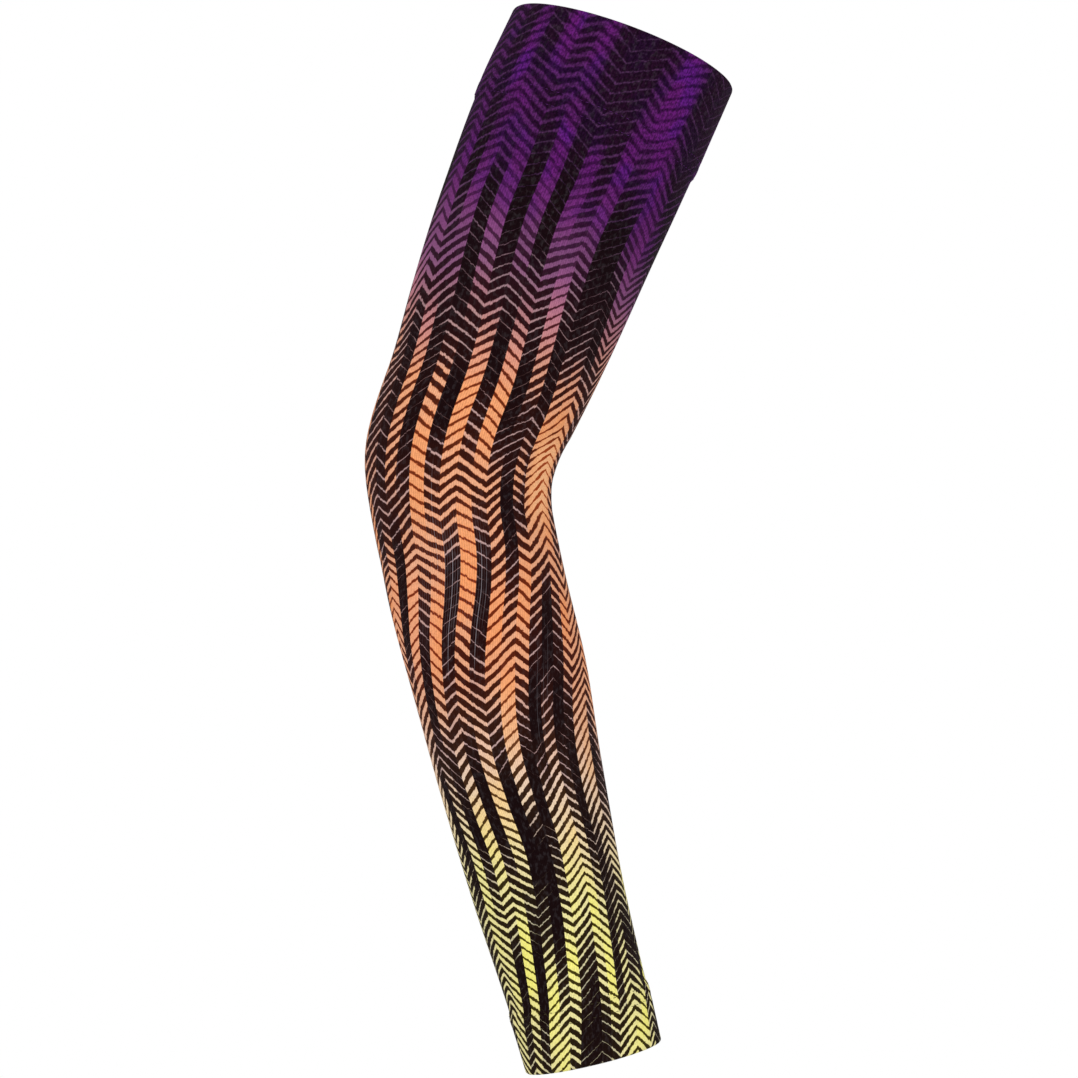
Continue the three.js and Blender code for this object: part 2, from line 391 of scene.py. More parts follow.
def linear(red, green, blue):
    """A colour given as it is seen on a screen, 0 to 255, as the linear colour that shaders use."""
    shares = (channel / 255 for channel in (red, green, blue))
    return tuple(s / 12.92 if s <= 0.04045 else ((s + 0.055) / 1.055) ** 2.4 for s in shares)


def colour_property(name, description, *screen_colour):
    return FloatVectorProperty(
        name=name, description=description, subtype="COLOR", min=0, max=1, default=linear(*screen_colour)
    )


def length_property(name, description, millimetres):
    return FloatProperty(name=name, description=description, default=millimetres * MM, unit="LENGTH", min=0)


class SleeveClothSettings(PropertyGroup):
    """Sizes of the knit and its hems."""

    knit_thickness: length_property("Knit thickness", "Thickness of the single cloth of the tube", 1.2)
    hem_thickness: length_property("Hem thickness", "Thickness of the doubled cloth of a hem", 2.4)
    hem_proud: length_property("Hem proud", "How far a hem stands out from the tube", 0.8)
    upper_hem_depth: length_property("Upper hem depth", "From the upper edge to its sewn line", 40)
    wrist_hem_depth: length_property("Wrist hem depth", "From the wrist edge to its sewn line", 26)
    seam_gap: length_property("Seam gap", "Hairline between a hem and the tube", 0.02)
    pucker: length_property("Pucker", "Height of the small gathers along a sewn line", 0.12)
    ripple: length_property("Ripple", "Height of the slow unevenness of the cloth on the arm", 0.25)
    wales: IntProperty(name="Wales", description="Columns of loops round the sleeve", default=280, min=40)
    courses: IntProperty(name="Courses", description="Rows of loops down the sleeve", default=680, min=40)
    loop_depth: length_property("Loop depth", "Depth of the knit relief", 0.12)
    cut_width: length_property("Cut width", "Width of the flat panel at the upper arm", 250)
    cut_wrist_width: length_property("Cut wrist width", "Width of the flat panel at the wrist", 146)


class SleevePrintSettings(PropertyGroup):
    """Colours of the print, from the upper arm to the wrist."""

    violet: colour_property("Violet", "Ground at the upper hem", 91, 24, 102)
    blue_violet: colour_property("Blue violet", "Patches of the ground at the upper hem", 84, 24, 122)
    purple: colour_property("Purple", "Ground below the upper hem", 112, 46, 112)
    mauve: colour_property("Mauve", "Ground above the elbow", 145, 82, 130)
    salmon: colour_property("Salmon", "Ground where mauve turns to orange", 208, 138, 140)
    orange: colour_property("Orange", "Ground at the elbow", 244, 162, 108)
    deep_orange: colour_property("Deep orange", "Ground on the upper forearm", 248, 158, 100)
    # Crook lit peach is painted light: the ground inside the crook is lightened towards it.
    crook_lit_peach: colour_property("Crook peach", "Ground painted lighter inside the crook", 255, 194, 142)
    peach: colour_property("Peach", "Ground on the forearm", 243, 188, 140)
    straw: colour_property("Straw", "Ground above the wrist", 253, 218, 148)
    yellow: colour_property("Yellow", "Ground at the wrist", 252, 245, 128)
    fine_violet: colour_property("Fine violet", "Narrow ground of the upper arm", 84, 36, 92)
    fine_mauve: colour_property("Fine mauve", "Narrow ground above the elbow", 136, 88, 124)
    fine_peach: colour_property("Fine peach", "Narrow ground of the elbow", 235, 172, 136)
    fine_sand: colour_property("Fine sand", "Narrow ground of the forearm", 238, 208, 188)
    fine_cream: colour_property("Fine cream", "Narrow ground at the wrist", 240, 230, 170)
    hair_violet: colour_property("Hair violet", "Hairlines in the black of the upper arm", 82, 50, 86)
    hair_lilac: colour_property("Hair lilac", "Hairlines in the black of the forearm", 190, 160, 158)
    hair_cream: colour_property("Hair cream", "Hairlines in the black at the wrist", 196, 188, 160)
    ink: colour_property("Ink", "Black of the strokes", 20, 6, 9)
    bare_yarn: colour_property("Bare yarn", "Unprinted yarn that stretch opens up", 172, 166, 174)
    inside_knit: colour_property("Inside knit", "Unprinted face inside the sleeve", 206, 200, 202)


class SleeveStitchSettings(PropertyGroup):
    """Sewing of the hems."""

    pitch: length_property("Stitch pitch", "Distance from one stitch to the next", 2.5)
    length: length_property("Stitch length", "Thread that shows of one stitch", 1.5)
    width: length_property("Thread width", "Width of the thread", 0.24)
    height: length_property("Thread height", "How far the thread stands off the cloth", 0.22)
    gauge: length_property("Needle gauge", "Distance between the two rows of a hem", 5.6)
    first_row: length_property("First row", "From the hem's sewn edge to its first row", 1.8)
    seed: IntProperty(name="Seed", description="Seed of the small unevenness of the stitches", default=4)
    upper_thread: colour_property("Upper thread", "Thread of the upper hem", 82, 36, 100)
    wrist_thread: colour_property("Wrist thread", "Thread of the wrist hem", 66, 60, 36)


class SleeveStageSettings(PropertyGroup):
    """Floor, light and camera."""

    floor_drop: length_property("Floor drop", "From the lowest point of the sleeve to the floor", 180)
    floor_radius: length_property("Floor radius", "Radius of the floor", 9000)
    floor_colour: colour_property("Floor colour", "Pale floor under the sleeve", 240, 240, 240)
    sky: FloatProperty(name="Sky", description="Strength of the even light all round", default=0.72, min=0)
    key: FloatProperty(name="Key", description="Power of the main lamp", default=9, min=0, unit="POWER")
    fill: FloatProperty(name="Fill", description="Power of the fill lamp", default=4.5, min=0, unit="POWER")
    camera_distance: length_property("Camera distance", "From the camera to the arm's axis", 1500)


def smooth_curve(knots, values, where):
    """Cubic curve through a table. Its slope at a knot is the mean of the slopes to either side."""
    knots = np.asarray(knots, float)
    values = np.asarray(values, float)
    secants = np.diff(values, axis=0) / np.diff(knots).reshape((-1,) + (1,) * (values.ndim - 1))
    slopes = np.concatenate([secants[:1], (secants[1:] + secants[:-1]) / 2, secants[-1:]])
    where = np.clip(np.asarray(where, float), knots[0], knots[-1])
    row = np.clip(np.searchsorted(knots, where, side="right") - 1, 0, len(knots) - 2)
    shape = where.shape + (1,) * (values.ndim - 1)
    step = (knots[row + 1] - knots[row]).reshape(shape)
    t = (where - knots[row]).reshape(shape) / step
    start = values[row] * (1 + 2 * t) * (1 - t) ** 2 + slopes[row] * step * t * (1 - t) ** 2
    end = values[row + 1] * t**2 * (3 - 2 * t) + slopes[row + 1] * step * t**2 * (t - 1)
    return start + end


def table_curve(table, where):
    """Smooth curve through a table of pairs."""
    knots, values = zip(*table)
    return smooth_curve(knots, values, where)


def bell(away, reach):
    """1 in the middle, falling off smoothly to either side."""
    return np.exp(-((away / reach) ** 2))


def fold_rise(folds, along, around):
    """How far a table of folds lifts the skin."""
    rise = np.zeros(np.broadcast(along, around).shape)
    for fold_along, fold_around, height, length, spread, slant in folds:
        away = (around - fold_around + 180) % 360 - 180
        rise += height * bell(along - fold_along - slant * away, length) * bell(away, spread)
    return rise


def stitch_rows():
    """Distances down the arm of the sewn rows, by hem."""
    cloth = bpy.context.scene.sleeve_cloth
    stitch = bpy.context.scene.sleeve_stitch
    upper = (cloth.upper_hem_depth - stitch.first_row) / MM
    wrist = SLEEVE_LENGTH - (cloth.wrist_hem_depth - stitch.first_row) / MM
    gauge = stitch.gauge / MM
    return {"upper_hem": (upper, upper - gauge), "wrist_hem": (wrist, wrist + gauge)}


def cloth_relief(along, around):
    """Fine relief of the cloth: creases, gathers along the sewn rows and slow unevenness."""
    cloth = bpy.context.scene.sleeve_cloth
    pucker = cloth.pucker / MM
    turn = np.radians(around)
    relief = fold_rise(FINE_CREASES, along, around)
    gathers = sum(
        height * np.sin(waves * turn + start + sway * np.sin(sways * turn))
        for waves, height, start, sway, sways in GATHERS
    )
    for rows in stitch_rows().values():
        middle = sum(rows) / len(rows)
        relief = relief + pucker * gathers * bell(along - middle, GATHER_REACH)
        for row in rows:
            relief = relief - ROW_DENT * pucker * bell(along - row, ROW_DENT_REACH)
    slow = sum(np.sin(along / length + waves * turn + start) for length, waves, start in RIPPLES)
    return relief + cloth.ripple / MM / len(RIPPLES) * slow


def cloth_point(along, around, inset):
    """Points of the cloth, in metres, at distances down the arm, angles round it and insets from the skin."""
    along, around, inset = np.broadcast_arrays(along, around, inset)
    table = np.array(SECTIONS, float)
    sizes = np.moveaxis(smooth_curve(table[:, 0], table[:, 1:], along), -1, 0)
    elbow, crook, depth, near_rise, crook_rise = sizes
    in_upper_arm = np.minimum(along, ELBOW_START)
    in_bend = np.clip(along - ELBOW_START, 0, ELBOW_ARC)
    in_forearm = np.maximum(along - ELBOW_START - ELBOW_ARC, 0)
    lean = UPPER_ARM_LEAN - in_bend / ELBOW_RADIUS
    x = -math.sin(UPPER_ARM_LEAN) * in_upper_arm - np.sin(lean) * in_forearm
    x = x - ELBOW_RADIUS * (np.cos(lean) - math.cos(UPPER_ARM_LEAN))
    z = -math.cos(UPPER_ARM_LEAN) * in_upper_arm - np.cos(lean) * in_forearm
    z = z - ELBOW_RADIUS * (math.sin(UPPER_ARM_LEAN) - np.sin(lean))
    turn = np.radians(around)
    lift = fold_rise(FOLDS, along, around) + cloth_relief(along, around) - inset
    sideways = np.cos(turn) * (np.where(np.cos(turn) > 0, crook, elbow) + lift)
    tilt = near_rise * np.sin(turn) - crook_rise * np.cos(turn)
    x = x + np.cos(lean) * sideways - np.sin(lean) * tilt
    z = z - np.sin(lean) * sideways - np.cos(lean) * tilt
    y = np.sin(turn) * (depth / 2 + lift)
    return np.stack([x, y, z], -1) * MM


def strip_angle(strip, along):
    """Angle round the arm of a place across the print, counted in strips."""
    lead = table_curve(LEAD_LINE, along)
    elbow_width = table_curve(ELBOW_STRIP_WIDTH, along)
    crook_width = table_curve(CROOK_STRIP_WIDTH, along)
    crook_strips = CROOK_STRIP - LEAD_STRIP
    far_width = (360 - LEAD_STRIP * elbow_width - crook_strips * crook_width) / (STRIPS - CROOK_STRIP)
    to_elbow = np.minimum(strip - LEAD_STRIP, 0)
    to_crook = np.clip(strip - LEAD_STRIP, 0, crook_strips)
    to_far = np.maximum(strip - CROOK_STRIP, 0)
    return lead + elbow_width * to_elbow + crook_width * to_crook + far_width * to_far


def far_chart():
    """Charts of the far strips, with dark and light stretches taking turns at seeded lengths."""
    random = np.random.default_rng(FAR_SEED)
    charts = []
    for strip in range(STRIPS - len(NEAR_CHART)):
        along = -random.uniform(0, FAR_STEP)
        dark = bool(random.integers(2))
        chart = []
        while along < SLEEVE_LENGTH + FAR_STEP:
            chart.append((along, random.uniform(*(FAR_DARK if dark else FAR_LIGHT))))
            along += FAR_STEP * random.uniform(*FAR_STEP_SPREAD)
            dark = not dark
        charts.append(chart)
    return charts


def chart_share(strip, along):
    """Share of black that the charts give whole strips at distances down the arm."""
    charts = list(NEAR_CHART) + far_chart()
    share = np.zeros(np.broadcast(strip, along).shape)
    strip, along = np.broadcast_arrays(strip, along)
    for number, chart in enumerate(charts):
        here = strip == number
        knots, shares = zip(*chart)
        share[here] = np.interp(along[here], knots, shares)
    return share


def faded_stretch(along, start, end):
    """1 between two distances down the arm, with a fade at both ends."""
    return np.clip(np.minimum(along - start, end - along) / STRETCH_FADE, 0, 1)


def print_share(place, strip, along):
    """Share of black at places across the print, each in its strip, with soft borders on the upper arm."""
    own = chart_share(strip, along)
    before = np.floor(place - 0.5)
    first = chart_share(before % STRIPS, along)
    second = chart_share((before + 1) % STRIPS, along)
    blended = first + (second - first) * (place - 0.5 - before)
    softness = np.interp(along, *zip(*BORDER_SOFTNESS))
    share = own + softness * (blended - own)
    for middle, half_width, start, end, added in CROOK_STROKES:
        share = share + added * bell(place - middle, half_width) * faded_stretch(along, start, end)
    return share


def stroke_count(strip, along):
    """Strokes counted from the upper rim down, with the zigzag that the slants make across the print."""
    steps = np.arange(SLEEVE_LENGTH + 1)
    counted = np.concatenate([[0], np.cumsum(1 / table_curve(STROKE_PITCH, steps[:-1] + 0.5))])
    slants = np.array([1 if slant == "/" else -1 for slant in NEAR_SLANTS + FAR_SLANTS])
    zigzag = np.concatenate([[0], np.cumsum(slants)])
    rise = table_curve(STROKE_RISE, along) * np.interp(strip, np.arange(STRIPS + 1), zigzag)
    sink = table_curve(ROW_SINK, along) * np.interp(strip, *zip(*ROW_SWING))
    return np.interp(along, steps, counted) + (rise - sink) / table_curve(STROKE_PITCH, along)


def ombre_place(strip, along):
    """Share of the way through the colours, from 0 at the upper rim to 1 at the wrist."""
    tilt = table_curve(OMBRE_TILT, along) * np.cos(np.radians(strip_angle(strip, along)))
    return np.clip((along + tilt) / SLEEVE_LENGTH, 0, 1)


def open_yarn(column, along):
    """How far stretch opens the knit at columns of the mesh."""
    first, last, start, end, strength = STRETCHED_PATCH
    inside = np.clip(np.minimum(column - first, last - column) / PATCH_FADE, 0, 1)
    opened = strength * inside * faded_stretch(along, start, end)
    for line, start, end, strength in OPEN_YARN:
        opened = np.where(column == line, opened + strength * faded_stretch(along, start, end), opened)
    return opened


def even_steps(start, end, step):
    """Even distances from start to end, both included."""
    return np.linspace(start, end, max(1, round(abs(end - start) / step)) + 1)


def add_object(name, data):
    """A new object in the scene."""
    thing = bpy.data.objects.new(name, data)
    bpy.context.scene.collection.objects.link(thing)
    return thing


def lay_print(mesh, column, strip, along):
    """Gives the corners of a wall their place on the cloth and in the print."""
    across = column / COLUMNS_PER_STRIP
    uv_map = mesh.uv_layers.new(name="cloth")
    uv_map.data.foreach_set("uv", np.stack([across / STRIPS, along / SLEEVE_LENGTH], -1).ravel())
    for attribute, values in (
        ("stroke", stroke_count(across, along)),
        ("black_share", print_share(across, strip, along)),
        ("ombre", ombre_place(across, along)),
        ("open_yarn", open_yarn(column, along)),
    ):
        mesh.attributes.new(attribute, "FLOAT", "CORNER").data.foreach_set("value", values)


def cloth_wall(name, profile, materials):
    """A closed wall of cloth. Its profile, rows of along, inset and material, goes once round the arm."""
    along, inset, layer = (np.array(values) for values in zip(*profile))
    strip = np.arange(COLUMNS) / COLUMNS_PER_STRIP
    around = strip_angle(strip[None, :], along[:, None])
    points = cloth_point(along[:, None], around, inset[:, None])
    row, column = (grid.ravel() for grid in np.indices((len(profile), COLUMNS)))
    next_row = (row + 1) % len(profile)
    corner_rows = np.stack([row, next_row, next_row, row], -1)
    corner_columns = np.stack([column, column, column + 1, column + 1], -1)
    faces = corner_rows * COLUMNS + corner_columns % COLUMNS
    mesh = bpy.data.meshes.new(name)
    mesh.from_pydata(points.reshape(-1, 3).tolist(), [], faces.tolist())
    corner_strips = np.repeat(column // COLUMNS_PER_STRIP, 4)
    lay_print(mesh, corner_columns.ravel(), corner_strips, along[corner_rows].ravel())
    for material in materials:
        mesh.materials.append(material)
    mesh.polygons.foreach_set("material_index", np.minimum(layer[row], layer[next_row]))
    mesh.polygons.foreach_set("use_smooth", np.ones(len(faces), bool))
    mesh.set_sharp_from_angle(angle=SHARP_EDGE)
    mesh.validate()
    mesh.update()
    return add_object(name, mesh)


def tube_profile():
    """The tube from hem to hem: its skin on the way down and its inside on the way back."""
    cloth = bpy.context.scene.sleeve_cloth
    start = (cloth.upper_hem_depth + cloth.seam_gap) / MM
    end = SLEEVE_LENGTH - (cloth.wrist_hem_depth + cloth.seam_gap) / MM
    skin = [(along, 0.0, 0) for along in even_steps(start, end, SKIN_STEP)]
    inside = [(along, cloth.knit_thickness / MM, 1) for along in even_steps(end, start, INSIDE_STEP)]
    return skin + inside


def hem_profile(folded_edge, sewn_edge):
    """A hem: its outer layer, a round fold at the free edge and the turned layer inside."""
    cloth = bpy.context.scene.sleeve_cloth
    proud = cloth.hem_proud / MM
    radius = cloth.hem_thickness / MM / 2
    towards_fold = math.copysign(1, folded_edge - sewn_edge)
    fold_centre = folded_edge - towards_fold * radius
    outer = []
    for along in even_steps(sewn_edge, fold_centre, HEM_STEP):
        from_seam = abs(along - sewn_edge)
        outer.append((along, -proud * (1 - math.exp(-from_seam / HEM_RISE)), 0))
    fold = []
    for step in range(1, FOLD_STEPS):
        turn = math.pi * step / FOLD_STEPS
        along = fold_centre + towards_fold * radius * math.sin(turn)
        fold.append((along, radius - proud - radius * math.cos(turn), 0))
    turned = [(along, 2 * radius - proud, 0) for along in even_steps(fold_centre, sewn_edge, 2 * HEM_STEP)]
    profile = outer + fold + turned
    return profile if towards_fold > 0 else profile[::-1]


class Signal:
    """One output of a node. Arithmetic and the methods here carry it on through further nodes of its tree."""

    def __init__(self, socket):
        self.socket = socket
        self.tree = socket.id_data

    def math(self, operation, *others):
        return add_signal(self.tree, "ShaderNodeMath", dict(enumerate((self, *others))), operation=operation)

    def __add__(self, other):
        return self.math("ADD", other)

    def __sub__(self, other):
        return self.math("SUBTRACT", other)

    def __rsub__(self, other):
        return self * -1.0 + other

    def __mul__(self, other):
        return self.math("MULTIPLY", other)

    def at_least(self, other):
        return self.math("MAXIMUM", other)

    def zigzag(self):
        """From 0 up to 1 and back to 0 in each step of 1."""
        return self.math("PINGPONG", 0.5) * 2.0

    def span(self, low, high, to_low, to_high):
        """Carried smoothly from one value to another, between two values of its own."""
        inputs = {"Value": self, "From Min": low, "From Max": high, "To Min": to_low, "To Max": to_high}
        return add_signal(self.tree, "ShaderNodeMapRange", inputs, interpolation_type="SMOOTHSTEP")

    def fade(self, start, end, before, after):
        """Carried smoothly from one value to another, between two distances down the arm."""
        return self.span(start / SLEEVE_LENGTH, end / SLEEVE_LENGTH, before, after)

    def window(self, whole, start, full, drop, end):
        """1 between two places, with a smooth way in before and out after. So many units make the whole."""
        way_in = self.span(start / whole, full / whole, 0.0, 1.0)
        return way_in * self.span(drop / whole, end / whole, 1.0, 0.0)


def feed(socket, value):
    """Sets an input of a node, or links it to a signal or to another node's first output."""
    if isinstance(value, Signal):
        value = value.socket
    if isinstance(value, bpy.types.Node):
        value = value.outputs[0]
    if isinstance(value, bpy.types.NodeSocket):
        socket.id_data.links.new(value, socket)
    else:
        socket.default_value = value


def add_node(tree, kind, inputs=None, **settings):
    """A node with its settings and inputs."""
    node = tree.nodes.new(kind)
    for setting, value in settings.items():
        setattr(node, setting, value)
    for name, value in (inputs or {}).items():
        feed(node.inputs[name], value)
    return node


def add_signal(tree, kind, inputs=None, output=0, **settings):
    """The signal that a new node gives."""
    return Signal(add_node(tree, kind, inputs, **settings).outputs[output])


def opaque(colour):
    """A plain colour with its alpha. A signal stays as it is."""
    return colour if isinstance(colour, Signal) else (*colour, 1.0)


def mix(share, first, second, blend="MIX"):
    """The colour that mixes a share of the second colour into the first."""
    given = {"Factor_Float": share, "A_Color": opaque(first), "B_Color": opaque(second)}
    tree = next(value.tree for value in given.values() if isinstance(value, Signal))
    node = add_node(tree, "ShaderNodeMix", data_type="RGBA", blend_type=blend)
    for socket in node.inputs:
        if socket.identifier in given:
            feed(socket, given[socket.identifier])
    return Signal(next(socket for socket in node.outputs if socket.identifier == "Result_Color"))


def shade(colour, tone):
    """A colour multiplied by a tone or by another colour."""
    return mix(1.0, colour, tone, blend="MULTIPLY")


def ground_ramp(where, stops):
    """A colour that changes down the sleeve, from a table of ground colours."""
    dye = bpy.context.scene.sleeve_print
    node = add_node(where.tree, "ShaderNodeValToRGB", {0: where})
    elements = node.color_ramp.elements
    while len(elements) < len(stops):
        elements.new(1.0)
    for element, (along, colour) in zip(elements, stops):
        element.position = along / SLEEVE_LENGTH
        element.color = opaque(getattr(dye, colour))
    return Signal(node.outputs[0])


class PrintPlace:
    """Where a point of the cloth lies in the print, as signals of one material."""

    def __init__(self, tree):
        uv_map = add_node(tree, "ShaderNodeUVMap", uv_map="cloth")
        split = add_node(tree, "ShaderNodeSeparateXYZ", {0: uv_map})
        self.tree = tree
        self.across = Signal(split.outputs[0])
        self.down = Signal(split.outputs[1])
        self.stroke = self.attribute("stroke")
        self.share = self.attribute("black_share")
        self.ombre = self.attribute("ombre")
        self.opened = self.attribute("open_yarn")
        self.upper = self.ombre.fade(*UPPER_ARM)

    def attribute(self, name):
        return add_signal(self.tree, "ShaderNodeAttribute", output="Fac", attribute_name=name)

    def noise(self, across_scale, down_scale, detail=1.0):
        """Flat noise over the cloth, between 0 and 1."""
        scaled = {"X": self.across * across_scale, "Y": self.down * down_scale}
        point = add_node(self.tree, "ShaderNodeCombineXYZ", scaled)
        inputs = {"Vector": point, "Scale": 1.0, "Detail": detail}
        return add_signal(self.tree, "ShaderNodeTexNoise", inputs, noise_dimensions="2D")

    def loop_noise(self, across_share, down_share):
        """Noise whose cells are counted in knit loops."""
        cloth = bpy.context.scene.sleeve_cloth
        return self.noise(cloth.wales * across_share, cloth.courses * down_share, detail=2.0)

    def cells(self, across_count, down_count):
        """A random value between -0.5 and 0.5 for each cell of a grid over the cloth."""
        column = (self.across * across_count).math("FLOOR")
        row = (self.down * down_count).math("FLOOR")
        cell = add_node(self.tree, "ShaderNodeCombineXYZ", {"X": column, "Y": row})
        inputs = {"Vector": cell}
        return add_signal(self.tree, "ShaderNodeTexWhiteNoise", inputs, "Value", noise_dimensions="2D") - 0.5

    def patch(self, across, down, strength):
        """How strong a patch of the print is, from its ways in and out across the print and down the arm."""
        return self.across.window(STRIPS, *across) * self.down.window(SLEEVE_LENGTH, *down) * strength


def knit_height(place):
    """Relief of plain knit: columns of V-shaped loops, between 0 and 1."""
    cloth = bpy.context.scene.sleeve_cloth
    arm = (place.across * cloth.wales).zigzag()
    loop = place.down * cloth.courses + arm * LOOP_SLANT
    swell = (loop * math.tau).math("SINE") * LOOP_SWELL + (1 - LOOP_SWELL)
    return arm.math("POWER", GROOVE_SHARPNESS) * swell


def dye_strokes(place):
    """Width of the strokes, as a share of black, and how black each point is."""
    cloth = bpy.context.scene.sleeve_cloth

    # Each knit column takes the dye a little higher or lower, which leaves the strokes ragged.
    ragged = place.cells(cloth.wales, cloth.courses / RAGGED_COURSES)
    shifted = ragged * RAGGED_SHIFT + (place.noise(*SWAY_NOISE) * SWAY_SHIFT + place.stroke)
    wave = shifted.zigzag()
    uneven = place.noise(*WIDTH_NOISE, detail=2.0)
    width = uneven * WIDTH_SPREAD + (place.share - place.ombre.fade(*STROKE_TRIM))
    soft = place.upper * UPPER_SOFTNESS + place.ombre.fade(*STROKE_SOFTNESS)
    return width, wave.span(width - soft, width + soft, 1.0, 0.0)


def dye_ground(place, width, crook):
    """The full ground colour, and the ground as the strokes' width leaves it, with painted light inside the
    crook and a painted sheen on the elbow side of the forearm.
    """
    dye = bpy.context.scene.sleeve_print
    where = (place.noise(*OMBRE_NOISE) - 0.5) * OMBRE_DRIFT + place.ombre
    broad, fine, hairline = (ground_ramp(where, g) for g in (BROAD_GROUND, FINE_GROUND, HAIRLINE_GROUND))
    blue = place.noise(*PATCH_NOISE).span(*BLUE_PATCHES) * place.upper
    broad = mix(blue, broad, dye.blue_violet)

    # The ground is full in the broad gaps, paler in the fine ones and greyer in the hairlines.
    ground = mix(width.span(*FINE_GAPS), broad, fine)
    ground = mix(width.span(*HAIRLINE_GAPS), ground, hairline)
    # Painted light: inside the crook the ground is lightened towards a pale peach.
    ground = mix(crook, ground, dye.crook_lit_peach)
    # Painted sheen: on the elbow side of the forearm a little white is mixed into the ground between the
    # strokes.
    elbow = place.patch(*ELBOW_SHEEN_PATCH) * width.span(*ELBOW_SHEEN_GAPS)
    return broad, mix(elbow, ground, WHITE)


def dye_black(place, broad, crook):
    """Colour of the strokes. The dye thickens to black, so a thin stroke is a deep tone of the ground."""
    dye = bpy.context.scene.sleeve_print
    thin = 1.0 - place.share
    faint = thin * thin * thin
    warm = place.ombre.fade(*WARM_BLACK) * place.share
    dense = mix(warm, shade(broad, broad), shade(broad, dye.peach))
    tint = (place.ombre.fade(*THIN_STROKE_TINT) * thin).at_least(faint * FAINT_STROKE_TINT)
    # Painted light also fades the strokes in the crook towards the ground.
    tint = (tint * place.ombre.fade(*WRIST_TINT)).at_least(crook * CROOK_LIGHT_TINT)
    black = mix(tint, dye.ink, dense)

    # On the upper arm the faint strokes and the hem's black are close to the ground.
    close = (place.ombre.fade(*FAINT_STROKES) * faint).at_least(place.ombre.fade(*HEM_TINT))
    black = mix(close, black, broad)
    flecked = place.loop_noise(*FLECK_NOISE).span(*FLECKS) * place.share
    return mix(flecked, black, dye.bare_yarn)


def dye_cloth(place):
    """The whole print: ground and strokes, mottled dye, and pale yarn where the arm stretches the black, with
    painted light in the crook and a painted sheen on the elbow side of the forearm.
    """
    dye = bpy.context.scene.sleeve_print
    # The crook patch is painted light; it lightens the ground and fades the strokes.
    crook = place.patch(*CROOK_LIGHT_PATCH)
    width, black = dye_strokes(place)
    broad, ground = dye_ground(place, width, crook)

    # A stroke's edge is a deep tone of the ground. On the upper hem the strokes run together.
    edged = mix(black, ground, shade(ground, ground))
    together = place.ombre.fade(*RUN_TOGETHER) * place.share.span(*DENSE_STROKES)
    inked = black * black
    inked = (place.share - inked) * together + inked
    dyed = mix(inked, edged, dye_black(place, broad, crook))

    # The dye is mottled most of all on the upper arm.
    mottled = shade(dyed, place.loop_noise(*MOTTLE_NOISE).span(*MOTTLE))
    dyed = mix(place.upper * (1 - LOWER_MOTTLE) + LOWER_MOTTLE, dyed, mottled)
    from_column = (place.across * COLUMNS).math("PINGPONG", 0.5)
    return mix(place.opened * from_column.span(*YARN_LINE), dyed, dye.bare_yarn)


def cleared_tree(owner):
    """The emptied node tree of a new material or world."""
    owner.use_nodes = True
    owner.node_tree.nodes.clear()
    return owner.node_tree


def add_surface(tree, colour, finish, height, bump_strength, bump_depth):
    """Ends a material in a shader of one colour, finish and relief."""
    relief = {"Height": height, "Strength": bump_strength, "Distance": bump_depth}
    bump = add_node(tree, "ShaderNodeBump", relief)
    shader = add_node(tree, "ShaderNodeBsdfPrincipled", {"Base Color": colour, **finish, "Normal": bump})
    add_node(tree, "ShaderNodeOutputMaterial", {"Surface": shader})


def printed_knit(name, show_through=1.0):
    """The printed knit. Inside the sleeve only a share of the print shows through the cloth."""
    material = bpy.data.materials.new(name)
    tree = cleared_tree(material)
    place = PrintPlace(tree)
    height = knit_height(place)
    # The knit's grooves are darkened and its loops lightened: painted shade and light, beside the bump.
    colour = shade(dye_cloth(place), height.span(*LOOP_SHADE))
    if show_through < 1:
        colour = mix(show_through, bpy.context.scene.sleeve_print.inside_knit, colour)
    add_surface(tree, colour, KNIT_FINISH, height, KNIT_BUMP, bpy.context.scene.sleeve_cloth.loop_depth)
    return material


def sewing_thread(name, colour):
    """Spun thread with its fuzz."""
    material = bpy.data.materials.new(name)
    tree = cleared_tree(material)
    place = add_signal(tree, "ShaderNodeTexCoord", output="Object")
    fuzz = add_signal(tree, "ShaderNodeTexNoise", {"Vector": place, **THREAD_FUZZ})
    toned = shade(colour, fuzz.span(*THREAD_TONE))
    add_surface(tree, toned, THREAD_FINISH, fuzz, THREAD_BUMP, THREAD_FUZZ_DEPTH * MM)
    return material


def studio_white(tree, sky):
    """Strength of the white surroundings: full for the eye, and the sky's own for the light they give."""
    return add_signal(tree, "ShaderNodeLightPath", output="Is Camera Ray") * (1.0 - sky) + sky


def studio_floor(name, colour, sky):
    """Pale matte floor that turns into the white surroundings away from the sleeve."""
    material = bpy.data.materials.new(name)
    tree = cleared_tree(material)
    place = add_signal(tree, "ShaderNodeTexCoord", output="Object")
    grain = add_signal(tree, "ShaderNodeTexNoise", {"Vector": place, "Scale": FLOOR_GRAIN_SCALE})
    looks = {"Base Color": shade(colour, grain.span(*FLOOR_GRAIN)), "Roughness": FLOOR_ROUGHNESS}
    matte = add_node(tree, "ShaderNodeBsdfPrincipled", looks)
    white = add_node(tree, "ShaderNodeEmission", {"Strength": studio_white(tree, sky)})
    reach = add_signal(tree, "ShaderNodeVectorMath", {0: place}, output="Value", operation="LENGTH")
    both = add_node(tree, "ShaderNodeMixShader", {0: reach.span(*FLOOR_FADE), 1: matte, 2: white})
    add_node(tree, "ShaderNodeOutputMaterial", {"Surface": both})
    return material


